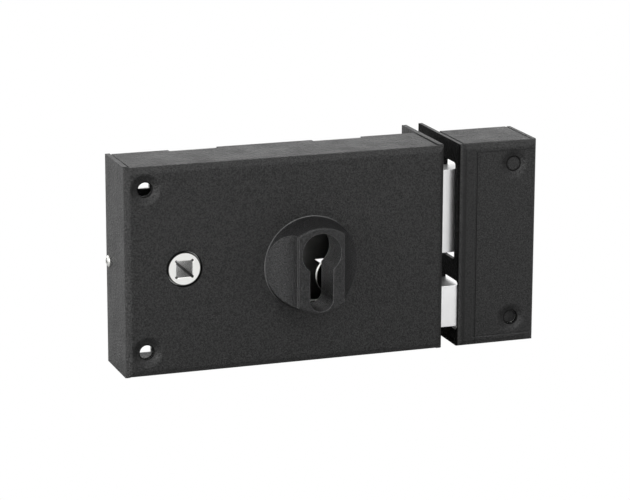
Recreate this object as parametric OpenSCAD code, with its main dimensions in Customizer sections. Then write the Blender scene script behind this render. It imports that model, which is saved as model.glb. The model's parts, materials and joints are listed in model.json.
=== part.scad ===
// Surface-mounted (rim) night latch with its box strike, in millimetres.
// +X runs along the lock toward the strike, the front face looks along -Y, +Z is up.
// The origin is on the key cylinder's axis, in the plane of the door's face.

/* [Case] */
// Height of the end walls
case_height = 89.6; // [80:0.1:130]
// Depth of the case, from the door's face to the front face
case_depth = 30; // [26:0.5:40]
// Thickness of the pressed sheet of the case
case_sheet = 2; // [1.2:0.1:2.2]
// Outside radius of the bends along the front edges
bend_radius = 2.8; // [2.2:0.1:3.4]
// How far the end walls stand above the top and bottom walls
end_wall_proud = 0.3; // [0.1:0.1:1.2]
// How far the back plate's tabs stay below the outside of the walls
tab_under = 0.35; // [0:0.05:1]
// Width of the slits between the walls at the corners
corner_slit = 0.8; // [0.3:0.05:1.2]
// How far the forend reaches behind the door's face
forend_reach = 16; // [10:0.5:25]
// Radius of the forend's rear corners
forend_corner = 0.4; // [0.2:0.1:4]
// Diameter of the screw holes in the forend's rear edge
forend_hole = 4.5; // [3:0.1:6]
// Distance between the forend's screw holes
forend_spacing = 56; // [40:1:66]

/* [Cylinder] */
// Distance from the forend's outside to the cylinder's axis
backset = 60; // [52:0.5:75]
// Height of the cylinder's axis above the middle of the case
cylinder_rise = 5.5; // [3:0.1:8]
// Diameter of the round part of the cylinder's hole
profile_round = 17.2; // [17:0.1:18]
// Width of the stem of the cylinder's hole
profile_stem = 10.3; // [10:0.1:11]
// Height of the whole cylinder hole
profile_height = 33.4; // [32:0.1:35]
// Radius that the cylinder's cam sweeps
cam_radius = 15.5; // [14:0.1:16]

/* [Cylinder guard] */
// Outside radius of the guard at the case
guard_radius = 20.45; // [20:0.05:24]
// Radius of the guard's flat nose
guard_nose_radius = 18.2; // [17.5:0.1:20]
// Height of the guard above the front face
guard_height = 13.1; // [10:0.1:18]
// Radius of the edge round the guard's nose
guard_edge = 1; // [0.5:0.1:2]
// Half the width of the upright block across the guard
guard_block = 10.05; // [9:0.05:12]
// Radius of the hollow-ground flanks beside that block
guard_flank_radius = 21.9; // [21:0.1:26]
// Depth of the centre of those flanks behind the front face
guard_flank_depth = 7.5; // [5:0.5:10]
// Distance of the guard's axis below the cylinder's axis
guard_drop = 7.3; // [6:0.1:8]
// Diameter of the two rivets that hold the guard
guard_rivet = 4; // [3:0.5:5]
// Distance between those rivets
guard_rivet_spacing = 29; // [27:0.5:33]

/* [Spindle] */
// Distance from the cylinder's axis to the spindle's axis
spindle_centres = 55.5; // [50:0.5:70]
// Distance from the spindle's axis to the outside of the left wall
spindle_margin = 25; // [20:0.5:40]
// Height of the works' centre line above the middle of the case
works_rise = 0.6; // [0:0.1:2]
// Width of the square hole for the spindle
spindle_square = 7.1; // [6:0.1:9]
// Diameter of the follower's journals
follower_journal = 14; // [12:0.5:16]
// Diameter of the follower's body
follower_body = 20; // [18:0.5:24]
// Length of the follower's arm, to the middle of its round tip
follower_arm = 22; // [20:0.5:24]
// Width of the follower's arm
follower_arm_width = 7; // [5:0.5:8]
// Diameter of the hole round the follower in the front face
follower_hole = 15.2; // [15:0.1:18]
// Angle through which the handle turns, in degrees
handle_angle = 41; // [38:1:44]

/* [Latch bolt] */
// Height of the latch bolt
latch_height = 36.4; // [30:0.1:38]
// Thickness of the latch bolt
latch_thickness = 10; // [8:0.5:12]
// How far the latch bolt stands out of the forend
latch_throw = 15; // [12:0.5:16]
// Length of the latch bolt's head
latch_length = 34; // [30:0.5:36]
// Gap between the cover and the front of the latch bolt
latch_gap = 5.1; // [4.5:0.1:5.6]
// Height of the latch bolt's underside below the cylinder's axis
latch_under = 9.4; // [8:0.1:11]
// Thickness of the latch bolt's tail
latch_tail_thickness = 1.9; // [1.5:0.1:2.5]
// Width of the latch bolt's tail
latch_tail_width = 9; // [7:0.5:10]

/* [Deadbolt] */
// Height of the deadbolt
deadbolt_height = 18.1; // [14:0.1:20]
// Thickness of the deadbolt
deadbolt_thickness = 15; // [12:0.5:15.5]
// How far the deadbolt stands out of the forend
deadbolt_throw = 15; // [12:0.5:16]
// Length of the deadbolt's head
deadbolt_length = 34; // [30:0.5:36]
// Gap between the cover and the front of the deadbolt
deadbolt_gap = 0.5; // [0.4:0.1:1]
// Height of the deadbolt's top below the cylinder's axis
deadbolt_drop = 23; // [22:0.1:24]
// Thickness of the deadbolt's tail
deadbolt_tail_thickness = 3; // [2:0.5:4]
// Width of the deadbolt's tail under the cylinder
deadbolt_tail_width = 15; // [12:0.5:15.5]

/* [Screw holes] */
// Diameter of the fixing holes in the front faces
fixing_hole = 6; // [5:0.1:7]
// Diameter of the pressed dimple round each fixing hole
dimple = 13; // [11:0.5:13.5]
// Depth of those dimples
dimple_depth = 1.2; // [0.6:0.1:1.6]
// Distance of the case's fixing holes from the ends of its height
fixing_margin = 10.3; // [9:0.1:14]
// Distance from the case's left wall to its fixing holes
fixing_inset = 8.7; // [8.6:0.1:12]

/* [Strike] */
// Gap between the forend and the strike, for the edge of the door
door_gap = 7; // [3:0.5:10]
// Length of the strike
strike_length = 35.5; // [30:0.1:50]
// Thickness of the pressed sheet of the strike
strike_sheet = 1.6; // [1.2:0.1:2.2]
// How far the strike's flange reaches behind the door's face
strike_reach = 19; // [10:0.5:25]
// Width of the band beside the strike's front panel
strike_band = 6.6; // [5:0.1:14]
// Width of the border above and below the strike's front panel
strike_border = 3.7; // [3:0.1:8]
// Depth of the step round the strike's front panel
strike_step = 0.4; // [0.1:0.05:0.6]
// Distance from the strike's flange to its fixing holes
strike_fixing_inset = 24.7; // [18:0.1:26]
// Distance of the strike's fixing holes from the ends of its height
strike_fixing_margin = 10.8; // [9.5:0.1:14]
// Play of the latch bolt in the strike's window, above and below it
latch_window_play = 3; // [1:0.1:4]
// Play of the deadbolt in the strike's window, above and below it
deadbolt_window_play = 1.8; // [1:0.1:2.5]
// Radius of the corners of the strike's windows
window_corner = 1.5; // [0.5:0.1:3]

// Outside diameter of the sleeves behind the strike's fixing holes
sleeve = 10; // [9:0.5:12]
// Diameter of the screw holes in those sleeves
sleeve_hole = 4.4; // [3.5:0.1:5]
// Depth of the lower plug behind the strike's front face
lower_plug_sink = 2.6; // [0.5:0.1:4]
// Depth of the upper plug behind the strike's front face
upper_plug_sink = 0.9; // [0.5:0.1:4]
// Length of the plugs
plug_length = 4; // [2:0.5:8]

/* [Inside] */
// Thickness of the back plate
plate_sheet = 1.5; // [1:0.1:2]
// Diameter of the pillars between the back plate and the cover
pillar = 7; // [5:0.5:8]
// Outside diameter of the latch spring
spring_diameter = 6; // [5:0.5:7]
// Diameter of the latch spring's wire
spring_wire = 0.8; // [0.6:0.1:1]
// Number of turns in the latch spring
spring_turns = 12; // [8:1:14]
// Room for the latch spring when the latch bolt is in
spring_room = 17; // [14:0.5:20]
// Thickness of the follower's arm
arm_thickness = 5.7; // [4:0.1:6]
// Lap of the latch's tail under its bolt
latch_tail_lap = 16; // [15:0.5:22]
// Depth of the guard's rivets in the guard
rivet_depth = 5; // [3:0.5:8]
// How much wider the heads of those rivets are
rivet_lip = 3; // [2:0.5:4]
// How much wider the bush is than the follower's body
bush_lip = 6; // [4:0.5:8]
// How much wider the flanges of the guide studs are
stud_lip = 4; // [2:0.5:5]
// Diameter of the rivets and pins that hold the tails
tail_rivet = 3; // [2:0.1:4]
// Diameter of the latch tail's guide stud
latch_stud = 3.6; // [3:0.1:4]
// Diameter of the deadbolt tail's guide stud
deadbolt_stud = 4; // [3:0.1:5]
// Radius of the fence beside the cylinder's cam
fence_radius = 9; // [7:0.5:10]
// Thickness of that fence
fence_sheet = 1.7; // [1:0.1:2.5]
// Distance of the fence behind the front face
fence_depth = 18; // [16:0.5:20]
// Diameter of the fence's post
fence_post = 6; // [4:0.5:8]
// Diameter of the head of the screw in the left wall
end_screw_head = 5; // [4:0.5:6]
// Clearance round what slides, and between pieces of different bodies
slide_clearance = 0.3; // [0.2:0.05:0.5]
// Radial clearance of the follower's journals
journal_clearance = 0.05; // [0.02:0.01:0.1]
// Clearance round pieces that are only set in place
seat_clearance = 0.2; // [0.1:0.05:0.3]

/* [Hidden] */
$fn = 64;
eps = 0.01;

// The case's outside, from the cylinder's axis.
forend_face = backset;
case_left = -spindle_centres - spindle_margin;
case_length = forend_face - case_left;
fixing_spacing = case_height - 2 * fixing_margin;
strike_fixing_spacing = case_height - 2 * strike_fixing_margin;
case_middle = -cylinder_rise;
case_bottom = case_middle - case_height / 2;
case_top = case_middle + case_height / 2;
wall_bottom = case_bottom + end_wall_proud;
wall_top = case_top - end_wall_proud;
face = -case_depth;
face_inside = face + case_sheet;
inside_left = case_left + case_sheet;
inside_right = forend_face - case_sheet;
inside_bottom = wall_bottom + case_sheet;
inside_top = wall_top - case_sheet;
works_line = case_middle + works_rise;

// The cylinder's hole.
stem_end = profile_round / 2 - profile_height;
stem_middle = stem_end + profile_stem / 2;

// The bolts.
latch_front = face_inside + latch_gap;
latch_back = latch_front + latch_thickness;
latch_tip = forend_face + latch_throw;
latch_rear = latch_tip - latch_length;
latch_top = latch_height - latch_under;
deadbolt_front = face_inside + deadbolt_gap;
deadbolt_back = deadbolt_front + deadbolt_thickness;
deadbolt_tip = forend_face + deadbolt_throw;
deadbolt_rear = deadbolt_tip - deadbolt_length;
deadbolt_top = -deadbolt_drop;
deadbolt_bottom = deadbolt_top - deadbolt_height;

// The latch's tail runs behind the follower's arm and clears the cylinder's cam.
tail_front = latch_back;
tail_back = tail_front + latch_tail_thickness;
tail_bottom = cam_radius + 0.5;
tail_top = tail_bottom + latch_tail_width;
tail_middle = (tail_bottom + tail_top) / 2;
arm_back = tail_front - 0.4;
arm_front = arm_back - arm_thickness;
lug_face = -spindle_centres - follower_arm_width / 2 - slide_clearance;
lug_width = 3;
lug_bottom = works_line + follower_body / 2 + 3;
guide_x = -30;
guide_pin = latch_stud;
talon_width = 4;
talon_reach = 1.5;
talon_right = -8;
talon_root = cam_radius - 2.5;

// The deadbolt's tail passes under the cylinder, with a finger on each side of it.
bolt_tail_back = (deadbolt_front + deadbolt_back) / 2 + deadbolt_tail_thickness / 2;
bolt_tail_front = bolt_tail_back - deadbolt_tail_thickness;
bolt_tail_top = stem_end - 1.2;
bolt_tail_bottom = bolt_tail_top - deadbolt_tail_width;
bolt_tail_middle = (bolt_tail_top + bolt_tail_bottom) / 2;
bolt_tail_left = -30;
finger_width = 6;
finger_gap = profile_stem / 2 + 0.5;
finger_top = -12;
bolt_guide_x = -22;
bolt_guide_pin = deadbolt_stud;
tail_socket = 12;

// The strike, as it stands beside the closed door.
strike_left = forend_face + door_gap;
strike_right = strike_left + strike_length;

// The notches of the top and bottom walls, from the case's left wall, and their depth.
notches = [[27.3, 48.5], [91, 113.3]];
notch_depth = 2.5;

// A cylinder along Y, from y0 to y1.
module rod_y(d, y0, y1) {
  translate([0, y0, 0])
    rotate([-90, 0, 0])
      cylinder(h = y1 - y0, d = d);
}

// A cylinder along X, from x0 to x1.
module rod_x(d, x0, x1) {
  translate([x0, 0, 0])
    rotate([0, 90, 0])
      cylinder(h = x1 - x0, d = d);
}

// A block between two opposite corners.
module block(a, b) {
  translate(a)
    cube(b - a);
}

// A flat outline in X and Z, standing from y0 to y1.
module upright(y0, y1) {
  translate([0, y1, 0])
    rotate([90, 0, 0])
      linear_extrude(y1 - y0)
        children();
}

// A flat outline in Y and Z, running from x0 to x1.
module along_x(x0, x1) {
  translate([x0, 0, 0])
    rotate([90, 0, 90])
      linear_extrude(x1 - x0)
        children();
}

// A rectangle with all four corners rounded.
module rounded(a, b, r) {
  translate([a[0] + r, a[1]])
    square([b[0] - a[0] - 2 * r, b[1] - a[1]]);
  translate([a[0], a[1] + r])
    square([b[0] - a[0], b[1] - a[1] - 2 * r]);
  for (x = [a[0] + r, b[0] - r], y = [a[1] + r, b[1] - r])
    translate([x, y])
      circle(r);
}

// A rectangle whose two corners at the low second coordinate are rounded, as a bend is.
module bent(a, b, r) {
  translate([a[0] + r, a[1]])
    square([b[0] - a[0] - 2 * r, r + eps]);
  translate([a[0], a[1] + r])
    square([b[0] - a[0], b[1] - a[1] - r]);
  for (x = [a[0] + r, b[0] - r])
    translate([x, a[1] + r])
      circle(r);
}

// The outline of the cylinder's hole.
module profile_outline() {
  circle(d = profile_round);
  translate([-profile_stem / 2, stem_middle])
    square([profile_stem, -stem_middle]);
  translate([0, stem_middle])
    circle(d = profile_stem);
}

// A fixing hole's dimple is a round dent of one radius; its back is a boss of the same form.
dent_radius = (pow(dimple / 2, 2) + pow(dimple_depth, 2)) / (2 * dimple_depth);

module dimple_boss(front, sheet) {
  intersection() {
    rod_y(dimple, front + sheet / 2, front + sheet + dimple_depth + 1);
    translate([0, front + dimple_depth - dent_radius, 0])
      sphere(dent_radius + sheet);
  }
}

module dimple_dent(front, sheet) {
  translate([0, front + dimple_depth - dent_radius, 0])
    sphere(dent_radius);
  rod_y(fixing_hole, front, front + sheet + dimple_depth + 2);
}

// The places of the fixing holes, the pillars and the guard's rivets, in X and Z.
case_fixings = [for (s = [-1, 1]) [case_left + fixing_inset, works_line + s * fixing_spacing / 2]];
strike_fixings = [for (s = [-1, 1]) [strike_left + strike_fixing_inset, works_line + s * strike_fixing_spacing / 2]];
guard_rivets_at = [for (s = [-1, 1]) [s * guard_rivet_spacing / 2, -guard_drop]];
forend_pillar_inset = 11;
upper_pillar_x = -40;
lower_pillar = [10, 15];
pillars_at = [
  [inside_right - forend_pillar_inset, (latch_top + inside_top) / 2],
  [inside_right - forend_pillar_inset, (deadbolt_top - latch_under) / 2],
  [upper_pillar_x, (tail_top + inside_top) / 2],
  [-spindle_centres - lower_pillar[0], works_line - lower_pillar[1]]
];

// The outside of a bent cover: its four front edges and its corners are rounded, the walls of the
// top and bottom end at the door's face, and a plate at one or both ends stands a little higher.
module cover_form(left, right, reach) {
  intersection() {
    translate([0, 0, case_bottom])
      linear_extrude(case_height)
        bent([left, face], [right, reach], bend_radius);
    union() {
      along_x(left - 1, right + 1)
        rotate(90)
          mirror([0, 1])
            bent([wall_bottom, face], [wall_top, 0], bend_radius);
      children();
    }
  }
}

// A bent-back plate that reaches behind the door's face, with rounded rear corners.
module reach_plate(x0, x1, reach, bottom, top) {
  along_x(x0, x1)
    difference() {
      rounded([face, bottom], [reach, top], forend_corner);
      translate([face - 1, case_bottom - 1])
        square([bend_radius + 1, case_height + 2]);
    }
}

// The slits at the corners, behind the front bend.
module slit(x0) {
  for (z = [case_bottom - 1, inside_top])
    block([x0, face + bend_radius, z],
          [x0 + corner_slit, 1, z + case_top - inside_top + 1]);
}

module case_cover() {
  color("dimgray")
    difference() {
      union() {
        difference() {
          cover_form(case_left, forend_face, forend_reach) {
            block([case_left - 1, face + bend_radius, case_bottom], [inside_left, 0, case_top]);
            reach_plate(inside_right, forend_face + 1, forend_reach, case_bottom, case_top);
          }
          block([inside_left, face_inside, inside_bottom], [inside_right, 1, inside_top]);
          slit(inside_left);
          slit(inside_right - corner_slit);
        }
        for (p = case_fixings)
          translate([p[0], 0, p[1]])
            dimple_boss(face, case_sheet);
      }
      for (p = case_fixings)
        translate([p[0], 0, p[1]])
          dimple_dent(face, case_sheet);
      upright(face - 1, face_inside + 1)
        profile_outline();
      translate([-spindle_centres, 0, works_line])
        rod_y(follower_hole, face - 1, face_inside + 1);
      for (p = guard_rivets_at)
        translate([p[0], 0, p[1]])
          rod_y(guard_rivet + 0.1, face - 1, face_inside + 1);
      latch_opening();
      deadbolt_opening();
      for (s = [-1, 1])
        translate([0, forend_reach / 2, case_middle + s * forend_spacing / 2])
          rod_x(forend_hole, inside_right - 1, forend_face + 1);
      for (n = notches)
        block([case_left + n[0], -notch_depth, case_bottom - 1],
              [case_left + n[1], 1, case_top + 1]);
      translate([0, end_screw_y, case_middle])
        rod_x(end_screw_shank + 0.2, case_left - 1, inside_left + 1);
    }
}

// The forend's windows, which fit the bolts with the sliding clearance.
module latch_opening() {
  block([inside_right - 1, latch_front - slide_clearance, -latch_under - slide_clearance],
        [forend_face + 1, latch_back + slide_clearance, latch_top + slide_clearance]);
}

module deadbolt_opening() {
  block([inside_right - 1, deadbolt_front - slide_clearance, deadbolt_bottom - slide_clearance],
        [forend_face + 1, deadbolt_back + slide_clearance, deadbolt_top + slide_clearance]);
}

// The back plate, with tabs in the walls' notches and a bent tab for the end screw.  Its corners
// are cut away behind the fixing holes, and it is open below the cylinder's side for the works.
plate_corner = [9.8, 5.9];
works_slot = [[11.6, -13.2], [18.4, -13.2], [18.4, -18.2]];
end_screw_y = -4.6;
end_screw_shank = 3;
end_tab = 2;

module back_plate() {
  s = seat_clearance;
  corner_height = case_fixings[0][1] + plate_corner[1] - inside_bottom + 1;
  color("silver")
    difference() {
      union() {
        upright(-plate_sheet, 0)
          difference() {
            translate([inside_left + s, inside_bottom + s])
              square([inside_right - inside_left - 2 * s, inside_top - inside_bottom - 2 * s]);
            for (i = [0, 1])
              translate([inside_left - 1, i == 0 ? inside_bottom - 1 : case_fixings[1][1] - plate_corner[1]])
                square([case_fixings[i][0] + plate_corner[0] - inside_left + 1, corner_height]);
          }
        for (n = notches)
          block([case_left + n[0] + s, -plate_sheet, wall_bottom + tab_under],
                [case_left + n[1] - s, 0, wall_top - tab_under]);
        block([inside_left + s, end_screw_y - 4, case_middle - 6],
              [inside_left + s + end_tab, -plate_sheet + eps, case_middle + 6]);
      }
      upright(-plate_sheet - 1, 1) {
        profile_outline();
        polygon(works_slot);
      }
      translate([-spindle_centres, 0, works_line])
        rod_y(follower_journal + 2 * journal_clearance, -plate_sheet - 1, 1);
      translate([0, end_screw_y, case_middle])
        rod_x(end_screw_shank + 0.1, case_left, inside_left + s + end_tab + 1);
    }
}

// The black guard round the cylinder: a low cone with a rounded edge, hollow ground on both
// sides of an upright block.
module guard_form() {
  length = sqrt(pow(guard_height, 2) + pow(guard_radius - guard_nose_radius, 2));
  out = [guard_height / length, (guard_radius - guard_nose_radius) / length];
  edge_z = guard_height - guard_edge;
  edge_r = guard_radius - (guard_edge + out[1] * edge_z) / out[0];
  rotate([90, 0, 0])
    rotate_extrude($fn = 96)
      intersection() {
        square([guard_radius, guard_height]);
        union() {
          polygon([
            [0, 0],
            [guard_radius, 0],
            [edge_r + guard_edge * out[0], edge_z + guard_edge * out[1]],
            [edge_r, guard_height],
            [0, guard_height]
          ]);
          translate([edge_r, edge_z])
            circle(guard_edge, $fn = 96);
        }
      }
}

module cylinder_guard() {
  color("black")
    difference() {
      translate([0, face, -guard_drop])
        intersection() {
          guard_form();
          union() {
            translate([0, guard_flank_depth, -guard_radius - 1])
              cylinder(h = 2 * guard_radius + 2, r = guard_flank_radius, $fn = 96);
            block([-guard_block, -guard_height - 1, -guard_radius - 1],
                  [guard_block, 1, guard_radius + 1]);
          }
        }
      upright(face - guard_height - 1, face + 1)
        profile_outline();
      for (p = guard_rivets_at)
        translate([p[0], 0, p[1]])
          rod_y(guard_rivet, face - rivet_depth, face + 1);
    }
}

module guard_rivets() {
  color("silver")
    for (p = guard_rivets_at)
      translate([p[0], 0, p[1]]) {
        rod_y(guard_rivet, face - rivet_depth, face_inside);
        rod_y(guard_rivet + rivet_lip, face_inside, face_inside + 1.2);
      }
}

module end_screw() {
  r = end_screw_head / 2;
  color("silver")
    translate([0, end_screw_y, case_middle])
      difference() {
        union() {
          rod_x(end_screw_shank, case_left - eps, inside_left + 7);
          intersection() {
            rod_x(end_screw_head, case_left - 1.4, case_left);
            translate([case_left + 2.2, 0, 0])
              sphere(sqrt(pow(r, 2) + pow(2.2 + 0.6, 2)));
          }
        }
        for (a = [0, 90])
          rotate([a + 20, 0, 0])
            block([case_left - 2, -1.5, -0.35], [case_left - 0.5, 1.5, 0.35]);
      }
}

module spindle_bush() {
  color("silver")
    translate([-spindle_centres, 0, works_line])
      difference() {
        rod_y(follower_body + bush_lip, face_inside, face_inside + 2);
        rod_y(follower_journal + 2 * journal_clearance, face_inside - 1, face_inside + 3);
      }
}

module pillars() {
  color("silver")
    for (p = pillars_at)
      translate([p[0], 0, p[1]])
        rod_y(pillar, face_inside, -plate_sheet);
}

// The follower: journals, body and the arm that pulls the latch's lug.
module follower() {
  h = spindle_square / 2;
  color("gainsboro")
    translate([-spindle_centres, 0, works_line])
      difference() {
        union() {
          rod_y(follower_journal, face, -seat_clearance);
          rod_y(follower_body, face_inside + 2 + slide_clearance, -plate_sheet - slide_clearance);
          upright(arm_front, arm_back) {
            translate([-follower_arm_width / 2, 0])
              square([follower_arm_width, follower_arm]);
            translate([0, follower_arm])
              circle(d = follower_arm_width);
          }
        }
        block([-h, face - 1, -h], [h, 1, h]);
        for (x = [-h, h], z = [-h, h])
          translate([x * 0.96, 0, z * 0.96])
            rod_y(1.2, face - 1, 1);
      }
}

// The latch bolt: a plain block whose front face turns into a round nose.
module latch_bolt() {
  r = latch_thickness;
  color("gainsboro")
    difference() {
      union() {
        translate([0, 0, -latch_under])
          linear_extrude(latch_height)
            union() {
              translate([latch_rear, latch_front])
                square([latch_tip - r - latch_rear, r]);
              intersection() {
                translate([latch_tip - r, latch_back])
                  circle(r, $fn = 96);
                translate([latch_tip - r - eps, latch_front])
                  square([r + 1, r]);
              }
            }
        translate([0, spring_y, tail_middle])
          rod_x(spring_diameter - 2 * spring_wire - 0.6, latch_rear - 5, latch_rear + 1);
      }
      for (x = latch_rivets_at)
        translate([x, 0, tail_middle])
          rod_y(tail_rivet, latch_back - 5, latch_back + 1);
    }
}

tail_rivet_insets = [6, 13];
latch_rivets_at = [for (i = tail_rivet_insets) latch_rear + i];

module latch_tail() {
  right = latch_rear + latch_tail_lap;
  left = lug_face - lug_width;
  color("silver")
    difference() {
      union() {
        upright(tail_front, tail_back)
          union() {
            translate([left, tail_bottom])
              square([right - left, latch_tail_width]);
            translate([left, lug_bottom])
              square([lug_width, tail_bottom - lug_bottom + 1]);
            translate([talon_right - talon_width, talon_root - talon_reach])
              square([talon_width, tail_bottom + 1 - talon_root + talon_reach]);
          }
        block([left, arm_front, lug_bottom], [lug_face, tail_front + eps, tail_top]);
      }
      upright(tail_front - 1, tail_back + 1) {
        translate([guide_x, tail_middle - guide_pin / 2 - slide_clearance])
          square([latch_throw, guide_pin + 2 * slide_clearance]);
        for (x = [guide_x, guide_x + latch_throw])
          translate([x, tail_middle])
            circle(d = guide_pin + 2 * slide_clearance);
      }
      for (x = latch_rivets_at)
        translate([x, 0, tail_middle])
          rod_y(tail_rivet, tail_front - 1, tail_back + 1);
    }
}

module latch_rivets() {
  color("silver")
    for (x = latch_rivets_at)
      translate([x, 0, tail_middle]) {
        rod_y(tail_rivet, latch_back - 5, tail_back);
        rod_y(tail_rivet + 2, tail_back, tail_back + 0.8);
      }
}

module latch_guide() {
  s = slide_clearance;
  color("silver")
    translate([guide_x, 0, tail_middle]) {
      rod_y(guide_pin, tail_front - 1.5, -plate_sheet);
      rod_y(guide_pin + stud_lip, tail_back + s, -plate_sheet);
      rod_y(guide_pin + stud_lip, tail_front - 1.5, tail_front - s);
    }
}

// The latch spring lies in front of the tail, between its anchor and the bolt's rear.
spring_y = latch_front + spring_diameter / 2 + 1;
anchor_face = latch_rear - latch_throw - spring_room;

module spring_anchor() {
  w = spring_diameter + 1;
  color("silver")
    union() {
      block([anchor_face - 4, face_inside, tail_middle - w / 2],
            [anchor_face, spring_y + w / 2, tail_middle + w / 2]);
      translate([0, spring_y, tail_middle])
        rod_x(spring_diameter - 2 * spring_wire - 0.6, anchor_face - 1, anchor_face + 5);
    }
}

// The spring is one swept round wire: a ring of points is set at each step of the helix.
spring_steps = 12;
spring_sides = 6;
spring_length = latch_rear - anchor_face - spring_wire;

function spring_ring(i) =
  let (a = 360 * i / spring_steps,
       n = spring_turns * spring_steps,
       r = (spring_diameter - spring_wire) / 2)
  [for (k = [0:spring_sides - 1])
    let (b = 360 * k / spring_sides,
         q = r + spring_wire / 2 * cos(b))
    [anchor_face + spring_wire / 2 + spring_length * i / n + spring_wire / 2 * sin(b),
     q * cos(a), q * sin(a)]];

module latch_spring() {
  n = spring_turns * spring_steps;
  m = spring_sides;
  points = [for (i = [0:n]) each spring_ring(i)];
  sides = [for (i = [0:n - 1], k = [0:m - 1])
    let (a = i * m + k,
         b = i * m + (k + 1) % m)
    each [[a, a + m, b], [b, a + m, b + m]]];
  first = [[for (k = [0:m - 1]) k]];
  last = [[for (k = [m - 1:-1:0]) n * m + k]];
  color("silver")
    translate([0, spring_y, tail_middle])
      polyhedron(points = points, faces = concat(sides, first, last));
}

// The deadbolt's head has a socket at its rear that takes the tail plate.
module deadbolt() {
  color("gainsboro")
    difference() {
      translate([0, 0, deadbolt_bottom])
        linear_extrude(deadbolt_height)
          rotate(90)
            mirror([0, 1])
              mirror([0, 1])
                union() {
                  translate([deadbolt_front, -deadbolt_tip + 1])
                    square([deadbolt_thickness, deadbolt_length - 1]);
                  translate([deadbolt_front + 1, -deadbolt_tip])
                    square([deadbolt_thickness - 2, 2]);
                  for (y = [deadbolt_front + 1, deadbolt_back - 1])
                    translate([y, -deadbolt_tip + 1])
                      circle(1, $fn = 32);
                }
      block([deadbolt_rear - 1, bolt_tail_front - 0.05, deadbolt_bottom - 1],
            [deadbolt_rear + tail_socket, bolt_tail_back + 0.05, deadbolt_top + 1]);
      for (x = deadbolt_rivets_at)
        translate([x, 0, bolt_tail_middle])
          rod_y(tail_rivet, deadbolt_front + 2, deadbolt_back + 1);
    }
}

deadbolt_rivets_at = [deadbolt_rear + 3.5, deadbolt_rear + 8.5];

module deadbolt_tail() {
  right = deadbolt_rear + tail_socket;
  color("silver")
    difference() {
      upright(bolt_tail_front, bolt_tail_back)
        union() {
          translate([bolt_tail_left, bolt_tail_bottom])
            square([right - bolt_tail_left, deadbolt_tail_width]);
          translate([-finger_gap - finger_width, bolt_tail_top - 1])
            square([finger_width, finger_top - bolt_tail_top + 1]);
          translate([finger_gap + deadbolt_throw, bolt_tail_top - 1])
            square([finger_width, finger_top - bolt_tail_top + 1]);
        }
      upright(bolt_tail_front - 1, bolt_tail_back + 1) {
        translate([bolt_guide_x, bolt_tail_middle - bolt_guide_pin / 2 - slide_clearance])
          square([deadbolt_throw, bolt_guide_pin + 2 * slide_clearance]);
        for (x = [bolt_guide_x, bolt_guide_x + deadbolt_throw])
          translate([x, bolt_tail_middle])
            circle(d = bolt_guide_pin + 2 * slide_clearance);
      }
      for (x = deadbolt_rivets_at)
        translate([x, 0, bolt_tail_middle])
          rod_y(tail_rivet, bolt_tail_front - 1, bolt_tail_back + 1);
    }
}

module deadbolt_rivets() {
  color("silver")
    for (x = deadbolt_rivets_at)
      translate([x, 0, bolt_tail_middle])
        rod_y(tail_rivet, deadbolt_front + 2, deadbolt_back);
}

module deadbolt_guide() {
  s = slide_clearance;
  color("silver")
    translate([bolt_guide_x, 0, bolt_tail_middle]) {
      rod_y(bolt_guide_pin, bolt_tail_front - 1.5, -plate_sheet);
      rod_y(bolt_guide_pin + stud_lip, bolt_tail_back + s, -plate_sheet);
      rod_y(bolt_guide_pin + stud_lip, bolt_tail_front - 1.5, bolt_tail_front - s);
    }
}

// A bowed leaf on the bottom wall rubs along the tail's lower edge and holds the deadbolt.
detent_chord = 46;
detent_sheet = 0.6;
detent_x = 2;

module detent_spring() {
  rise = bolt_tail_bottom - slide_clearance - inside_bottom;
  outer = (pow(detent_chord / 2, 2) + pow(rise, 2)) / (2 * rise);
  color("silver")
    intersection() {
      translate([detent_x, 0, inside_bottom + rise - outer])
        difference() {
          rod_y(2 * outer, bolt_tail_front - 2, bolt_tail_back + 2);
          rod_y(2 * (outer - detent_sheet), bolt_tail_front - 3, bolt_tail_back + 3);
        }
      block([detent_x - detent_chord, face, inside_bottom],
            [detent_x + detent_chord, 0, inside_bottom + rise + 1]);
    }
}

// The strike: a flange with a window for each bolt, a box over them and an open back.
module strike_window(bottom, top, front, back, play) {
  along_x(strike_left - 1, strike_left + strike_sheet + 1)
    rounded([front, bottom - play], [back, top + play], window_corner);
}

module strike_cover() {
  t = strike_sheet;
  color("dimgray")
    difference() {
      union() {
        difference() {
          cover_form(strike_left, strike_right, strike_reach)
            reach_plate(strike_left - 1, strike_left + t, strike_reach, wall_bottom, wall_top);
          block([strike_left + t, face + t, wall_bottom + t],
                [strike_right - t, 1, wall_top - t]);
          slit(strike_left + t);
          slit(strike_right - t - corner_slit);
        }
        for (p = strike_fixings)
          translate([p[0], 0, p[1]])
            dimple_boss(face, t);
      }
      for (p = strike_fixings)
        translate([p[0], 0, p[1]])
          dimple_dent(face, t);
      // The panel lies one shallow step below the band beside it.
      difference() {
        block([strike_left + strike_band, face - 1, wall_bottom + strike_border],
              [strike_right + 1, face + strike_step, wall_top - strike_border]);
        for (p = strike_fixings)
          translate([p[0], 0, p[1]])
            rod_y(dimple - 2, face - 2, face + 2);
      }
      strike_window(-latch_under, latch_top, latch_front - window_front[0],
                    latch_back + window_back, latch_window_play);
      strike_window(deadbolt_bottom, deadbolt_top, deadbolt_front - window_front[1],
                    deadbolt_back + window_back, deadbolt_window_play);
      for (s = [-1, 1])
        translate([0, strike_reach / 2 + 1, case_middle + s * forend_spacing / 2])
          rod_x(forend_hole, strike_left - 1, strike_left + t + 1);
    }
}

// The play of the bolts in the strike's windows, before and behind them.
window_front = [1.1, 0.5];
window_back = 1.4;

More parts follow.
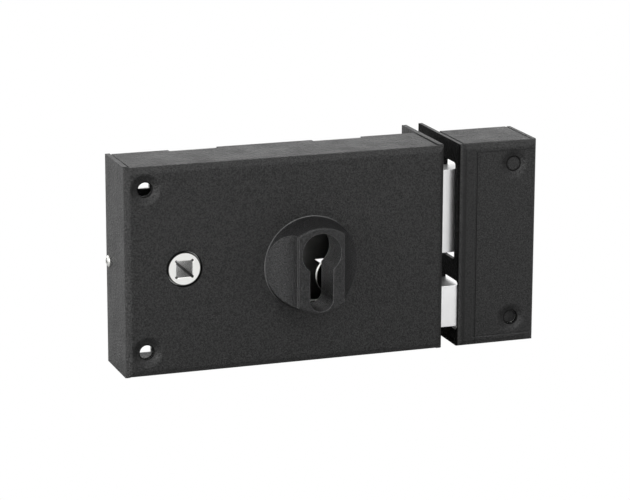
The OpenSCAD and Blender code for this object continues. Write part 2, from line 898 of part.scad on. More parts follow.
// A sleeve behind each of the strike's fixing holes, and the plug that closes it.
sleeve_front = face + strike_sheet + dimple_depth;
plug_play = 0.2;
plug_sinks = [lower_plug_sink, upper_plug_sink];

module strike_sleeves() {
  color("silver")
    for (i = [0, 1])
      translate([strike_fixings[i][0], 0, strike_fixings[i][1]])
        difference() {
          rod_y(sleeve, sleeve_front, 0);
          rod_y(fixing_hole, sleeve_front - 1, face + plug_sinks[i] + plug_length);
          rod_y(sleeve_hole, sleeve_front - 1, 1);
        }
}

module strike_plugs() {
  color("dimgray")
    for (i = [0, 1])
      translate([strike_fixings[i][0], 0, strike_fixings[i][1]])
        rod_y(fixing_hole - plug_play, face + plug_sinks[i], face + plug_sinks[i] + plug_length);
}

// A round-ended fence beside the cam's sweep parts the works from the cylinder.
fence_at = (cam_radius + 0.3 + fence_radius) * [0.695, -0.719];

module cam_fence() {
  back = face + fence_depth;
  color("silver") {
    translate([fence_at[0], 0, fence_at[1]])
      rod_y(2 * fence_radius, back - fence_sheet, back);
    translate([fence_at[0] + fence_radius - fence_post / 2 - 1, 0, fence_at[1]])
      rod_y(fence_post, back, -plate_sheet);
  }
}

case_cover();
back_plate();
cylinder_guard();
guard_rivets();
end_screw();
spindle_bush();
pillars();
latch_guide();
deadbolt_guide();
spring_anchor();
latch_spring();
detent_spring();
strike_cover();
strike_sleeves();
strike_plugs();
cam_fence();
follower();
latch_bolt();
latch_tail();
latch_rivets();
deadbolt();
deadbolt_tail();
deadbolt_rivets();
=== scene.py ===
# %% [markdown]
# # A rim night latch on a white sweep
# The CAD model comes in as a fixed frame: exact solids in named nodes, with their joints. This script adds what
# the solids don't hold: the camera, the light, the finishes, the hollow flanks of the cylinder guard and its own
# copy of the latch's coil spring. It never moves or changes a node of the frame, so the lock keeps its size and
# its motion.

# %% Load the frame
import json
import math

import bpy
from mathutils import Matrix, Vector


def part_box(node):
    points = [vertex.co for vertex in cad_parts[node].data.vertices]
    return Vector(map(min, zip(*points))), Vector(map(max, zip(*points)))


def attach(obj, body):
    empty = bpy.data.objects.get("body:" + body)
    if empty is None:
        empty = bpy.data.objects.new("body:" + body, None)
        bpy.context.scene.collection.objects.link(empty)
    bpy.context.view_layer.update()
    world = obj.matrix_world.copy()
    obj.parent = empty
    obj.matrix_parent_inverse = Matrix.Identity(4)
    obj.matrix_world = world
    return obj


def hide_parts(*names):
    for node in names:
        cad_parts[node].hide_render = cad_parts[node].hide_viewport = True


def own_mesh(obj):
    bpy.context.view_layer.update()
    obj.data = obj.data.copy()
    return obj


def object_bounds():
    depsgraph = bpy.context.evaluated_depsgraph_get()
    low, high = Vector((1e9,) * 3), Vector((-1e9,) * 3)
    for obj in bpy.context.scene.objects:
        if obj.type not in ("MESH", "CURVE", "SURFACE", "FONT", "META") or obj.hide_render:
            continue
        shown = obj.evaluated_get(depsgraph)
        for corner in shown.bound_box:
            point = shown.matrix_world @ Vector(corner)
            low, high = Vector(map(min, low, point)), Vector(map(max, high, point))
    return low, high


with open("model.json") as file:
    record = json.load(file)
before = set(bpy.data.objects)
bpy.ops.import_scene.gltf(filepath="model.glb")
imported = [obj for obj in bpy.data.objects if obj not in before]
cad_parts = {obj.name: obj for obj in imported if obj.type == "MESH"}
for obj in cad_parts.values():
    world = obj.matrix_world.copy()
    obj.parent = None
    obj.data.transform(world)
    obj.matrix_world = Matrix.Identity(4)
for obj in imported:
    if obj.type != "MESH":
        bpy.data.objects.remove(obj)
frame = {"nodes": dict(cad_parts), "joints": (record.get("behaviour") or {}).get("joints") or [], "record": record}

MM = 0.001
cad_box = [[float(c) for c in corner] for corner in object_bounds()]

# %% [markdown]
# ## Camera
# A small product is best seen from far away through a long lens, so that its sides stay almost
# parallel. The camera could be placed by hand in the viewport. Here it is worked out from its
# turn, its pitch and the place of one target point in front of it, because these are the numbers
# that one would read off a tripod, and each can be changed by itself.

# %% Camera values
TARGET = Vector((-9.7, -30.0, -5.5)) * MM     # middle of the front face
YAW = math.radians(19.567)                    # turn to the left of the lock
PITCH = math.radians(14.183)                  # look down
ROLL = math.radians(-0.171)
TARGET_RIGHT = -10.64 * MM                    # where the target lies, seen from the camera
TARGET_DOWN = 4.80 * MM
TARGET_AHEAD = 1151.3 * MM
LENS = 157.5                                  # mm
SENSOR = 36                                   # mm
print("lens", LENS, "mm on a sensor", SENSOR, "mm wide")


# %% Camera
def add_camera():
    """Makes the camera from the target's place in the camera's own axes."""
    ahead = Vector((math.sin(YAW) * math.cos(PITCH), math.cos(YAW) * math.cos(PITCH), -math.sin(PITCH)))
    level = Vector((math.cos(YAW), -math.sin(YAW), 0))
    down = ahead.cross(level)
    right = math.cos(ROLL) * level + math.sin(ROLL) * down
    down = -math.sin(ROLL) * level + math.cos(ROLL) * down
    place = TARGET - TARGET_RIGHT * right - TARGET_DOWN * down - TARGET_AHEAD * ahead
    data = bpy.data.cameras.new("camera")
    data.lens = LENS
    data.sensor_width = SENSOR
    data.clip_start = 0.1
    data.clip_end = 20
    camera = bpy.data.objects.new("camera", data)
    bpy.context.scene.collection.objects.link(camera)
    axes = Matrix((right, -down, -ahead)).transposed()
    camera.matrix_world = Matrix.Translation(place) @ axes.to_4x4()
    return camera


bpy.context.scene.camera = add_camera()
bpy.context.scene.view_settings.view_transform = "Standard"
print("camera at", [round(c, 3) for c in bpy.context.scene.camera.matrix_world.translation], "m")

# %% [markdown]
# ## Colours and nodes
# A finish is a small graph of shader nodes. Such a graph is easy to draw in the editor and long
# to write in Python, so a few helpers keep each one short. `tone` turns a colour as it looks on
# a screen into the linear one that a shader wants, and `add` makes one node with its inputs.


# %% Colours and nodes
def tone(code):
    """Turns an sRGB hex code into the linear colour that a shader wants."""
    parts = [int(code[i:i + 2], 16) / 255 for i in (0, 2, 4)]
    return tuple(c / 12.92 if c <= 0.04045 else ((c + 0.055) / 1.055) ** 2.4 for c in parts) + (1,)


def dimmed(colour, share):
    """Gives a darker version of a linear colour."""
    return tuple(c * share for c in colour[:3]) + (1,)


def add(tree, kind, inputs=None, **settings):
    """Adds a node, sets its properties, and sets or links its inputs."""
    node = tree.nodes.new(kind)
    for name, value in settings.items():
        setattr(node, name, value)
    for name, value in (inputs or {}).items():
        if isinstance(value, bpy.types.NodeSocket):
            tree.links.new(value, node.inputs[name])
        else:
            node.inputs[name].default_value = value
    return node


print("the middle grey of a screen is", round(tone("808080")[0], 3), "in linear light")


# %% A new material
def new_material(name):
    """Makes a material with its shader, and gives its coordinates in millimetres."""
    material = bpy.data.materials.new(name)
    material.use_nodes = True
    tree = material.node_tree
    tree.nodes.clear()
    shader = add(tree, "ShaderNodeBsdfPrincipled")
    add(tree, "ShaderNodeOutputMaterial", {"Surface": shader.outputs["BSDF"]})
    metres = add(tree, "ShaderNodeTexCoord").outputs["Object"]
    mm = add(tree, "ShaderNodeVectorMath", {0: metres, 1: (1000, 1000, 1000)}, operation="MULTIPLY")
    return material, tree, shader, mm.outputs["Vector"]


def drive(tree, shader, sockets):
    """Links values to the shader's own inputs."""
    for name, value in sockets.items():
        tree.links.new(value, shader.inputs[name])


# %% [markdown]
# ## Values that vary over a surface
# Patterns are read in the object's own coordinates, in millimetres. They stay with a piece when
# it moves, and they need no unwrapping. The helpers below are the words that the finishes are
# written in: a noise of a certain size, a value spread over a range, a band between two values,
# a distance to an axis, and a bump of a certain height.


# %% Arithmetic
def math_of(tree, operation, first, second=0.0):
    """Adds one piece of arithmetic."""
    return add(tree, "ShaderNodeMath", {0: first, 1: second}, operation=operation).outputs["Value"]


def product(tree, *factors):
    """Multiplies all the factors."""
    total = factors[0]
    for factor in factors[1:]:
        total = math_of(tree, "MULTIPLY", total, factor)
    return total


def pick(tree, operation, values):
    """Gives the MINIMUM or the MAXIMUM of a list of values."""
    chosen = values[0]
    for value in values[1:]:
        chosen = math_of(tree, operation, chosen, value)
    return chosen


def spread(tree, value, low, high, start=0.0, end=1.0, easing="LINEAR"):
    """Maps a value from start..end to low..high."""
    ends = {"Value": value, "From Min": start, "From Max": end, "To Min": low, "To Max": high}
    return add(tree, "ShaderNodeMapRange", ends, interpolation_type=easing).outputs["Result"]


def band(tree, value, low, high, soft):
    """Is 1 between two values, with soft ends."""
    rise = spread(tree, value, 0.0, 1.0, low - soft, low)
    return product(tree, rise, spread(tree, value, 1.0, 0.0, high, high + soft))


# %% Places
def axis_of(tree, vector, axis):
    """Gives one axis of a vector."""
    return add(tree, "ShaderNodeSeparateXYZ", {"Vector": vector}).outputs[axis]


def vector_of(tree, operation, first, second):
    """Adds one piece of arithmetic on vectors."""
    return add(tree, "ShaderNodeVectorMath", {0: first, 1: second}, operation=operation)


def away_from(tree, mm, centre):
    """Gives the distance in millimetres to an axis that runs straight into the door."""
    local = vector_of(tree, "SUBTRACT", mm, centre).outputs["Vector"]
    flat = vector_of(tree, "MULTIPLY", local, (1, 0, 1)).outputs["Vector"]
    return add(tree, "ShaderNodeVectorMath", {0: flat}, operation="LENGTH").outputs["Value"]


def facing(tree, axis):
    """Says how squarely a face looks along an axis, either way: 1 is straight along it."""
    normal = add(tree, "ShaderNodeTexCoord").outputs["Normal"]
    return math_of(tree, "ABSOLUTE", axis_of(tree, normal, axis))


def in_mm(box):
    """Turns a box's two corners into millimetres."""
    return [corner / MM for corner in box]


# %% Patterns
def noise(tree, mm, size, detail, rough=0.5):
    """Gives a cloudy noise whose blobs are about as many millimetres wide as size says."""
    inputs = {"Vector": mm, "Scale": 1 / size, "Detail": detail, "Roughness": rough}
    return add(tree, "ShaderNodeTexNoise", inputs).outputs["Fac"]


def ramp(tree, factor, low, high, start, end):
    """Adds a colour ramp with two stops."""
    node = add(tree, "ShaderNodeValToRGB", {"Fac": factor})
    for stop, place, colour in zip(node.color_ramp.elements, (start, end), (low, high)):
        stop.position = place
        stop.color = colour
    return node.outputs["Color"]


def mixed(tree, factor, first, second):
    """Mixes two colours."""
    return add(tree, "ShaderNodeMix", {"Factor": factor, 6: first, 7: second}, data_type="RGBA").outputs[2]


def bump(tree, height, distance, normal=None):
    """Gives the normal of a relief that is as many millimetres high as distance says."""
    inputs = {"Height": height, "Distance": distance * MM, "Strength": 1.0}
    if normal is not None:
        inputs["Normal"] = normal
    return add(tree, "ShaderNodeBump", inputs).outputs["Normal"]


def eased_edge(tree, radius, samples=6):
    """Gives the normal of a surface whose edges are broken by a small round."""
    return add(tree, "ShaderNodeBevel", {"Radius": radius * MM}, samples=samples).outputs["Normal"]


# %% [markdown]
# ## Painted shade on the powder coat
# The case and the strike are pressed from sheet, sprayed with dry powder and baked. Painted shade darkens the coat
# where shade falls: on the flanges' faces that look at each other across the door's gap, in rings round the hub
# and the fixing holes, and on the strike's bend and along its border. The strike's pressed panel is too shallow to
# show by its relief, so thin lines of painted shade mark its edges. A painted highlight lies in a thin ring at the
# upper left of the guard's foot. These places could be painted on an image. Masks that come from the frame's own
# boxes do the same without an image, and they move with the lock's pieces when a size changes.

# %% Places on the lock
FOLLOWER = next(joint for joint in frame["joints"] if joint["name"] == "follower_turn")
HUB_AXIS = [c / MM for c in FOLLOWER["pos_m"]]
HUB = 7.0                       # mm, radius of the follower's round end in the front face
HUB_HOLE = 7.6                  # mm, radius of the hole round it


def fixing_holes():
    """Lists the middles of the four fixing holes: two in the case, two with plugs in the strike."""
    screws = next(mount for mount in frame["record"]["mounts"] if mount["name"] == "case_screws")
    x, _, z = [c / MM for c in screws["pos_m"]]
    half = screws["dims"]["spacing_y_mm"] / 2
    low, high = in_mm(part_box("strike_plugs"))
    radius = (high.x - low.x) / 2
    case = [(x, 0, z - half), (x, 0, z + half)]
    return case + [(low.x + radius, 0, low.z + radius), (low.x + radius, 0, high.z - radius)]


print("the follower's axis is at", [round(c, 1) for c in HUB_AXIS], "mm")
print("the fixing holes are at", [(round(x, 1), round(z, 1)) for x, _, z in fixing_holes()], "mm")


# %% Painted shade in the gap and a painted highlight on the guard's foot
def gap_shade_mask(tree, mm):
    """Is 1 on the two flanges' faces that look at each other across the door's gap, which get painted shade."""
    forend, strike = in_mm(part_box("case_cover"))[1].x, in_mm(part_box("strike_cover"))[0].x
    within = band(tree, axis_of(tree, mm, "X"), forend - 0.4, strike + 0.4, 0.2)
    return product(tree, within, spread(tree, facing(tree, "X"), 0.0, 1.0, 0.7, 0.95))


def guard_foot_highlight(tree, mm):
    """Is 1 on the thin ring at the upper left of the guard's foot that gets a painted highlight."""
    low, high = in_mm(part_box("cylinder_guard"))
    middle = (low + high) / 2
    radius = (high.x - low.x) / 2
    front = in_mm(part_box("case_cover"))[0].y
    ring = band(tree, away_from(tree, mm, middle), radius + 0.1, radius + 0.3, 0.15)
    local = vector_of(tree, "SUBTRACT", mm, middle).outputs["Vector"]
    aside = vector_of(tree, "DOT_PRODUCT", local, (-0.7, 0, 0.7)).outputs["Value"]
    on_front = spread(tree, axis_of(tree, mm, "Y"), 1.0, 0.0, front + 0.2, front + 0.4)
    return product(tree, ring, spread(tree, aside, 0.0, 1.0, 0, 10), on_front)


# %% Painted shade round holes and along pressed lines
STEP_LINE = 7.85                # mm, from the strike's left edge to the line of its pressed panel
TOP_LINE = 3.8                  # mm, from the strike's top to the same line
BEND_START, BEND_END = 1.5, 2.6     # mm from the same edge, where painted shade lies behind the bend


def strike_shade_lines(tree, mm):
    """Lists masks of painted shade for the strike's bend, its border and the lines round its pressed panel."""
    low, high = in_mm(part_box("strike_cover"))
    x, z = axis_of(tree, mm, "X"), axis_of(tree, mm, "Z")
    step, top = low.x + STEP_LINE, high.z - TOP_LINE
    upright = product(tree, band(tree, x, step - 0.1, step + 0.1, 0.25),
                      spread(tree, z, 1.0, 0.0, top - 0.2, top + 0.2))
    level = product(tree, band(tree, z, top - 0.1, top + 0.05, 0.2),
                    spread(tree, x, 0.0, 1.0, step - 0.25, step - 0.05))
    return [
        product(tree, band(tree, x, low.x + BEND_START, low.x + BEND_END, 0.9), 0.5),
        product(tree, band(tree, x, low.x + BEND_END, step + 0.05, 0.3), 0.2),
        product(tree, upright, 0.75),
        product(tree, level, 0.5),
    ]


def painted_shade_places(tree, mm, nearest_hole):
    """Is 1 where the painted shade is strongest, and less where it is fainter."""
    hub_gap_shade = spread(tree, away_from(tree, mm, HUB_AXIS), 1.0, 0.0, HUB_HOLE + 0.1, HUB_HOLE + 0.3)
    hole_gap_shade = product(tree, band(tree, nearest_hole, 2.85, 3.3, 0.25), 0.85)
    places = [gap_shade_mask(tree, mm), hub_gap_shade, hole_gap_shade] + strike_shade_lines(tree, mm)
    return pick(tree, "MAXIMUM", places)


# %% [markdown]
# ## Powder coat on the case, the strike and the guard
# Baked powder is a dark satin skin with a fine orange peel. Almost all of its light is the white room mirrored in
# it, so its tone hardly follows the base colour. Three layers make it look sprayed: fine grains that bend the
# mirror, slow waves that change the gloss, and tiny flecks where the skin is matt. A metal with a black base
# mirrors almost nothing, so the flecks and the painted shade are driven through the Metallic input. Sharp edges
# get a painted highlight: a lighter colour where the Bevel node turns the normal. A real displacement would need
# millions of faces for grains of this size.

# %% Powder values
GRAIN = 0.7                     # mm, size of the raised grains
GRAIN_HEIGHT = 0.42             # mm
WAVE = 9                        # mm, size of the slow changes of gloss
FLECK = 0.55                    # mm, size of the matt flecks
FLECK_MATT = 0.42               # how much of the mirror the strongest fleck takes away
WALL_GRAIN = 1.1                # mm, size of the coarser grain on the top, bottom and side walls
EDGE = 0.35                     # mm, round of the edges
SINK = 1.1                      # mm, how far the sheet is drawn in round a fixing hole
SINK_START, SINK_END = 2.4, 6.8     # mm from the hole's axis, where it is deepest and runs out


# %% Powder coat
def eased_edge_highlight(tree, normal):
    """Is 1 where the eased edge's normal leaves the true one, which is where the painted highlight goes."""
    true = add(tree, "ShaderNodeNewGeometry").outputs["Normal"]
    turned = vector_of(tree, "DOT_PRODUCT", normal, true).outputs["Value"]
    return spread(tree, turned, 1.0, 0.0, 0.75, 0.99)


def powder_coat(name, dark, light, edge_highlight, rough, wall_height, on_pressings=False):
    """Sprayed and baked enamel: raised grains, slow waves and matt flecks, with a painted highlight on its edges
    and, on the pressings, painted shade.
    """
    material, tree, shader, mm = new_material(name)
    grains = noise(tree, mm, GRAIN, 3, 0.7)
    body = ramp(tree, grains, dark, light, 0.38, 0.66)
    normal = eased_edge(tree, EDGE, samples=8)
    edges = eased_edge_highlight(tree, normal)
    gloss = spread(tree, noise(tree, mm, WAVE, 2), rough - 0.04, rough + 0.06, 0.3, 0.7)
    flecks = spread(tree, noise(tree, mm, FLECK, 1), 0.0, FLECK_MATT, 0.4, 0.62)
    if on_pressings:
        nearest = pick(tree, "MINIMUM", [away_from(tree, mm, centre) for centre in fixing_holes()])
        painted_shade = painted_shade_places(tree, mm, nearest)
        # Painted shade: a near-black colour, with more roughness and Metallic, in the door's gap, round the hub
        # and the holes, and on the strike's bend, border and panel lines.
        body = mixed(tree, painted_shade, body, tone("0b0b0b"))
        # Painted highlight: a light ring at the upper left of the guard's foot.
        body = mixed(tree, guard_foot_highlight(tree, mm), body, tone("5c5c5c"))
        # The painted highlight on the edges turns dark within the painted shade.
        edge_highlight = mixed(tree, painted_shade, edge_highlight, tone("1c1c1c"))
        gloss = math_of(tree, "MAXIMUM", gloss, product(tree, painted_shade, 0.7))
        flecks = math_of(tree, "MAXIMUM", flecks, painted_shade)
        drawn_in = spread(tree, nearest, 0.0, 1.0, SINK_START, SINK_END, "SMOOTHSTEP")
        normal = bump(tree, drawn_in, SINK, normal)
    on_walls = spread(tree, facing(tree, "Y"), 1.0, 0.0, 0.3, 0.8)
    runs = product(tree, noise(tree, mm, WALL_GRAIN, 2), on_walls)
    normal = bump(tree, runs, wall_height, normal)
    # Painted highlight: the lighter edge colour goes on the eased edges.
    drive(tree, shader, {
        "Metallic": flecks,
        "Base Color": mixed(tree, edges, body, edge_highlight),
        "Roughness": gloss,
        "Normal": bump(tree, grains, GRAIN_HEIGHT, normal),
    })
    return material


# %% [markdown]
# ## Plated steel
# The bolts, the back plate, the studs and the screw are steel under a thin bright plating.
# Rolling, grinding or turning leaves a grain in one direction. An anisotropic shader would show
# it, but the exported model drops anisotropy. So the same noise, stretched along the grain,
# drives the roughness and a slight bump, and a cloudy noise gives the plating its patches.

# %% Plated steel
PLATE_GRAIN = 1 / 3             # mm, width of the grinding lines
PLATE_CLOUD = 6                 # mm
PLATE_RELIEF = 0.004            # mm
PLATE_EDGE = 0.25               # mm


def plated_steel(name, colour, rough, lines=(1, 1, 1), dull=0.82):
    """Rolled, ground or turned steel under thin plating, with a grain along its long direction."""
    material, tree, shader, mm = new_material(name)
    shader.inputs["Metallic"].default_value = 1.0
    grain = noise(tree, vector_of(tree, "MULTIPLY", mm, lines).outputs["Vector"], PLATE_GRAIN, 3)
    cloud = noise(tree, mm, PLATE_CLOUD, 3)
    drive(tree, shader, {
        "Base Color": ramp(tree, cloud, dimmed(colour, dull), colour, 0.3, 0.6),
        "Roughness": spread(tree, grain, rough - 0.05, rough + 0.08, 0.3, 0.7),
        "Normal": bump(tree, grain, PLATE_RELIEF, eased_edge(tree, PLATE_EDGE)),
    })
    return material


# %% [markdown]
# ## Painted shade on the works
# The plates that slide or stand near the key cylinder sit deep in the case, and their flat faces get painted
# shade: a dark metal colour in cloudy patches. Their cut edges keep the bright plated colour. Two materials on one
# piece would need its faces picked by hand, so one material tells the two apart by the way a face looks.

# %% Painted shade on the works
SHADE_PATCH = 3                       # mm, size of the patches in the painted shade
SHADE_PATCH_RELIEF = 0.02             # mm


def shaded_works_steel(name, shaded_face, plated_edge):
    """Painted shade on the flat faces, and the bright plated colour on the edges."""
    material, tree, shader, mm = new_material(name)
    shader.inputs["Metallic"].default_value = 1.0
    cloud = noise(tree, mm, SHADE_PATCH, 4)
    face_shade = ramp(tree, cloud, dimmed(shaded_face, 0.5), shaded_face, 0.35, 0.65)
    flat = spread(tree, facing(tree, "Y"), 0.0, 1.0, 0.3, 0.8)
    # Painted shade on the faces that look along Y; the plated colour on the cut edges.
    drive(tree, shader, {
        "Base Color": mixed(tree, flat, plated_edge, face_shade),
        "Roughness": spread(tree, cloud, 0.32, 0.5, 0.3, 0.7),
        "Normal": bump(tree, cloud, SHADE_PATCH_RELIEF),
    })
    return material


# %% [markdown]
# ## The follower's hub
# The hub is turned, so its face keeps fine rings round its axis. Its rim gets painted shade: a dark ring for the
# shade in the gap round it and for the dark enamel that the rim mirrors. The square hole is broached: the tool
# leaves dull, torn walls with slanting marks, and grooves in the corners, which get painted shade. Rings and
# grooves come from the distance to the axis, and the walls are told from the face by their normal, so the hub
# needs no second material.

# %% The follower's hub
GROOVE_START, GROOVE_FULL = 4.82, 4.98      # mm from the axis, where the corner grooves begin
WALLS_FULL, WALLS_END = 5.9, 6.1            # mm from the axis, beyond which the hole has no wall
RING_RELIEF = 0.004             # mm
HUB_EDGE = 0.3                  # mm


def streaks(tree, place, per_mm, detail):
    """Gives a noise along one direction, which shows as lines or rings across it."""
    inputs = {"W": product(tree, place, per_mm), "Detail": detail}
    return add(tree, "ShaderNodeTexNoise", inputs, noise_dimensions="1D").outputs["Fac"]


def broached_hub(name, colour):
    """Turned face with rings round the axis; dull walls with slanting marks in the square hole; painted shade on
    the rim and in the corner grooves.
    """
    material, tree, shader, mm = new_material(name)
    shader.inputs["Metallic"].default_value = 1.0
    local = vector_of(tree, "SUBTRACT", mm, HUB_AXIS).outputs["Vector"]
    radius = away_from(tree, mm, HUB_AXIS)
    rings = streaks(tree, radius, 5.0, 2)
    slant = vector_of(tree, "DOT_PRODUCT", local, (1.0, -1.1, 1.0)).outputs["Value"]
    torn = ramp(tree, streaks(tree, slant, 0.9, 1), tone("848482"), tone("ffffff"), 0.46, 0.54)
    # Painted shade: a dark colour in the corner grooves of the square hole.
    torn = mixed(tree, spread(tree, radius, 0.0, 1.0, GROOVE_START, GROOVE_FULL), torn, tone("3a3a38"))
    wall = product(tree, spread(tree, facing(tree, "Y"), 1.0, 0.0, 0.4, 0.6),
                   spread(tree, radius, 1.0, 0.0, WALLS_FULL, WALLS_END))
    # Painted shade: a dark ring on the rim of the hub.
    rim_shade = spread(tree, radius, 0.0, 1.0, HUB - 0.45, HUB - 0.15)
    drive(tree, shader, {
        "Base Color": mixed(tree, rim_shade, mixed(tree, wall, colour, torn), tone("1a1a19")),
        "Roughness": spread(tree, rings, 0.34, 0.48, 0.3, 0.7),
        "Normal": bump(tree, rings, RING_RELIEF, eased_edge(tree, HUB_EDGE)),
    })
    return material


# %% [markdown]
# ## Finishes for the nodes
# The record gives each node a slot, which is the finish that it has on the real lock. One material per slot keeps
# the pieces of one finish alike. Three plates near the cylinder take the steel with painted shade, though the
# record lists them with the other zinc plated ones.

# %% Finishes
FINISHES = {
    # The third colour of each coat is the painted highlight on its edges.
    "case_enamel": powder_coat("satin_powder_coat", tone("010101"), tone("191919"), tone("363637"),
                               0.42, wall_height=0.95, on_pressings=True),
    "guard_black": powder_coat("cast_black_enamel", tone("020202"), tone("1c1c1d"), tone("606061"),
                               0.44, wall_height=0.35),
    "zinc_sheet": plated_steel("zinc_plated_sheet", tone("c9cac8"), 0.36, (0.1, 1, 1)),
    "bolt_steel": plated_steel("nickel_plated_bolt", tone("ffffff"), 0.40, (0.08, 1, 1), dull=0.97),
    "follower_steel": broached_hub("turned_zinc_steel", tone("f6f6f3")),
    "spring_steel": plated_steel("drawn_spring_steel", tone("8d8d90"), 0.3),
    "screw_steel": plated_steel("zinc_plated_screw", tone("dcdcd9"), 0.36),
}
# Painted shade on the flat faces of three plates near the cylinder.
SHADED_WORKS = shaded_works_steel("shaded_zinc_steel", tone("2c2c2a"), tone("e8e8e4"))
SHADED_WORKS_NODES = ("cam_fence", "latch_tail", "deadbolt_tail")
for slot, material in FINISHES.items():
    print(slot, "is", material.name, "with", len(material.node_tree.nodes), "nodes")

# %% Finishes on the nodes
slot_of = {part["node"]: part["material_slot"] for part in frame["record"]["subparts"]}
for name, cad in frame["nodes"].items():
    cad.data.materials.clear()
    cad.data.materials.append(SHADED_WORKS if name in SHADED_WORKS_NODES else FINISHES[slot_of[name]])
# The count after it is of the pieces whose flat faces get painted shade.
print(len(slot_of), "nodes are finished,", len(SHADED_WORKS_NODES), "of them with painted shade")

# %% [markdown]
# ## Helpers for new pieces
# A CAD node's mesh is loose triangles, so a piece that starts from one copies the mesh and merges
# its points first. A Boolean modifier then cuts a tool's shape out of the copy. Sculpting could
# make the same hollows, but a cut keeps exact radii and clean edges.


# %% Helpers for new pieces
def select_only(piece):
    """Makes one object the only selected one, and the active one."""
    bpy.ops.object.select_all(action="DESELECT")
    piece.select_set(True)
    bpy.context.view_layer.objects.active = piece


def merged_copy(node, name):
    """Copies a CAD node's mesh into a new object, with its loose triangles merged."""
    piece = bpy.data.objects.new(name, frame["nodes"][node].data.copy())
    bpy.context.scene.collection.objects.link(piece)
    select_only(piece)
    bpy.ops.object.mode_set(mode="EDIT")
    bpy.ops.mesh.select_all(action="SELECT")
    bpy.ops.mesh.remove_doubles(threshold=0.001 * MM)
    bpy.ops.object.mode_set(mode="OBJECT")
    bpy.ops.mesh.customdata_custom_splitnormals_clear()
    return piece


def combine(piece, tool, operation="DIFFERENCE"):
    """Cuts the tool's shape out of the piece, or joins the two, and removes the tool."""
    boolean = piece.modifiers.new("boolean", "BOOLEAN")
    boolean.operation = operation
    boolean.solver = "EXACT"
    boolean.object = tool
    select_only(piece)
    bpy.ops.object.modifier_apply(modifier=boolean.name)
    bpy.data.objects.remove(tool)


def plain_round(radius, depth, place, along="Z", vertices=64):
    """A plain round to cut or join with, upright or along Y."""
    bpy.ops.object.select_all(action="DESELECT")
    turn = (math.pi / 2, 0, 0) if along == "Y" else (0, 0, 0)
    bpy.ops.mesh.primitive_cylinder_add(vertices=vertices, radius=radius, depth=depth,
                                        location=place, rotation=turn)
    return bpy.context.object


def finish_piece(piece, slot, body, angle=25):
    """Smooths the piece's round faces, and gives it the finish of a slot and its body."""
    select_only(piece)
    bpy.ops.object.shade_smooth_by_angle(angle=math.radians(angle))
    piece.data.materials.clear()
    piece.data.materials.append(FINISHES[slot])
    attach(piece, body)
    print(piece.name, "has", len(piece.data.polygons), "faces")


# %% [markdown]
# ## The guard's hollow flanks
# The guard is a cast steel cone with a thumb-wide hollow down each side, which leaves an upright
# block round the keyhole. Each hollow is part of an upright round, as a large cutter would leave
# it. The CAD guard has plain flanks, so the piece starts as a copy of it, and two tall rounds are
# cut out. The rivets' blind holes would then come through, so they are filled first.

# %% The guard's hollow flanks
HOLLOW_RADIUS = 17.6 * MM
HOLLOW_ASIDE = 27.3 * MM        # from the cylinder's axis to the middle of the hollow
HOLLOW_AHEAD = 16.5 * MM        # from the case's front face to the middle of the hollow
HOLLOW_TALL = 60 * MM
RIVET_ASIDE = 14.5 * MM         # from the cylinder's axis to a rivet's
RIVET_DEEP = 1.8 * MM           # how far the rivets reach into the thinned flanks
CUT_DEEP = 6 * MM               # more than the depth of the CAD rivets and of their holes
PLUG_RADIUS = 2.1 * MM
RIVET_CUTTER = 3 * MM


def hollow_guard():
    """The guard with its two hollow flanks, cut inside the CAD guard."""
    low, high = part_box("cylinder_guard")
    middle = (low.z + high.z) / 2
    back, front = high.y - RIVET_DEEP, high.y - CUT_DEEP
    guard = merged_copy("cylinder_guard", "hollow_guard")
    for side in (-1, 1):
        place = (side * RIVET_ASIDE, (back + front) / 2, middle)
        combine(guard, plain_round(PLUG_RADIUS, back - front, place, along="Y"), "UNION")
    for side in (-1, 1):
        place = (side * HOLLOW_ASIDE, high.y - HOLLOW_AHEAD, middle)
        combine(guard, plain_round(HOLLOW_RADIUS, HOLLOW_TALL, place, vertices=256))
    finish_piece(guard, "guard_black", "case")
    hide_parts("cylinder_guard")


hollow_guard()

# %% [markdown]
# ## The guard's rivets
# Two rivets hold the guard from inside the case. They are copies of the CAD rivets, cut off where
# the hollow flanks leave no more steel for them. Scaling them would thin their heads as well.


# %% The guard's rivets
def short_rivets():
    """The two rivets, shortened to stay inside the hollow flanks."""
    low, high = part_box("cylinder_guard")
    middle = (low.z + high.z) / 2
    rivets = merged_copy("guard_rivets", "short_rivets")
    for side in (-1, 1):
        place = (side * RIVET_ASIDE, high.y - RIVET_DEEP - CUT_DEEP / 2, middle)
        combine(rivets, plain_round(RIVET_CUTTER, CUT_DEEP, place, along="Y"))
    finish_piece(rivets, "zinc_sheet", "case")
    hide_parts("guard_rivets")


short_rivets()

# %% [markdown]
# ## The latch's coil spring
# The latch presses a coil spring against a fixed lug. A rigid coil would pierce the latch when it goes in. Here
# the coil is a copy of the CAD coil, with a mesh of its own, on the case's body; it does not shorten.


# %% The latch's coil spring
def coil_spring():
    """A copy of the CAD coil, with a mesh of its own."""
    coil = merged_copy("latch_spring", "coil_spring")
    finish_piece(coil, "spring_steel", "case", angle=60)
    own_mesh(coil)
    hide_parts("latch_spring")


coil_spring()

# %% [markdown]
# ## Floor and room
# A dark, satin object is best lit by a white tent. Seen by the camera, the floor and the room
# are plain white. Everything else sees a dimmer white room, which the satin enamel mirrors most
# where it is seen edge on. The Light Path node tells the two kinds of ray apart. A floor that is
# only painted white would need far more lamps and would still show grey.

# %% Floor
FLOOR = 0.52                    # how much of the light the floor sends back
FLOOR_SIZE = 6                  # m


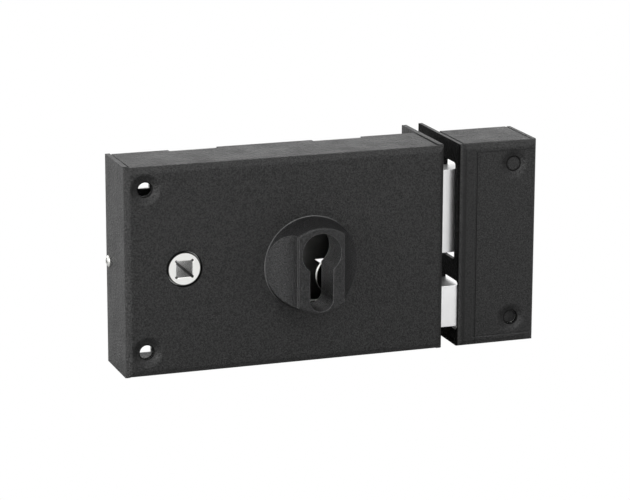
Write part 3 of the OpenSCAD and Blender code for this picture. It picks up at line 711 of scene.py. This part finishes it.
def white_floor():
    """A wide floor under the lock, which the camera sees as plain white."""
    bpy.ops.object.select_all(action="DESELECT")
    bpy.ops.mesh.primitive_plane_add(size=FLOOR_SIZE, location=(0, 0, cad_box[0][2]))
    floor = bpy.context.object
    floor.name = "floor"
    material = bpy.data.materials.new("floor_white")
    material.use_nodes = True
    tree = material.node_tree
    tree.nodes.clear()
    rays = add(tree, "ShaderNodeLightPath")
    matt = add(tree, "ShaderNodeBsdfDiffuse", {"Color": (FLOOR, FLOOR, FLOOR, 1)})
    bright = add(tree, "ShaderNodeEmission", {"Color": (1, 1, 1, 1), "Strength": 1.0})
    mix = add(tree, "ShaderNodeMixShader", {0: rays.outputs["Is Camera Ray"], 1: matt.outputs["BSDF"],
                                            2: bright.outputs["Emission"]})
    add(tree, "ShaderNodeOutputMaterial", {"Surface": mix.outputs["Shader"]})
    floor.data.materials.append(material)


white_floor()
print("the floor is at z", round(cad_box[0][2] / MM, 1), "mm")

# %% Room
ROOM = 0.92                     # brightness of the room for all but the camera


def white_room():
    """The world: plain white to the camera, dimmer to the rest."""
    world = bpy.data.worlds.new("room")
    bpy.context.scene.world = world
    world.use_nodes = True
    tree = world.node_tree
    tree.nodes.clear()
    rays = add(tree, "ShaderNodeLightPath")
    strength = spread(tree, rays.outputs["Is Camera Ray"], ROOM, 1.0)
    back = add(tree, "ShaderNodeBackground", {"Color": (1, 1, 1, 1), "Strength": strength})
    add(tree, "ShaderNodeOutputWorld", {"Surface": back.outputs["Background"]})


white_room()
print("the room is", ROOM, "bright")

# %% [markdown]
# ## Soft boxes
# The room alone leaves the bends flat. Four soft boxes draw them: one on the left for the side
# wall and the guard's flank, one above the front for its sheen, and two behind, which graze the
# top and the left wall. They are given as they would be set up in a studio: by compass angle
# from the front, height angle, distance, size and power. Lamps placed by plain coordinates would
# do the same, but nobody could tell from the numbers where they stand.


# %% Soft boxes
def soft_box(name, azimuth, elevation, away, size, watts):
    """A square soft box, placed by its compass angle from the front and its height angle."""
    turn, lift = math.radians(azimuth), math.radians(elevation)
    toward = Vector((math.sin(turn) * math.cos(lift), -math.cos(turn) * math.cos(lift), math.sin(lift)))
    data = bpy.data.lights.new(name, "AREA")
    data.shape = "SQUARE"
    data.size = size
    data.energy = watts
    lamp = bpy.data.objects.new(name, data)
    bpy.context.scene.collection.objects.link(lamp)
    lamp.location = TARGET + toward * away
    lamp.rotation_euler = toward.to_track_quat("Z", "Y").to_euler()
    print(name, "gives", watts, "W from", away, "m away")


soft_box("left_box", -68, 12, 1.3, 0.7, 16)
soft_box("front_box", 15, 38, 1.2, 0.6, 6)
soft_box("back_box", 160, 18, 1.5, 1.2, 1.7)
soft_box("far_box", -140, 10, 1.4, 0.8, 3)
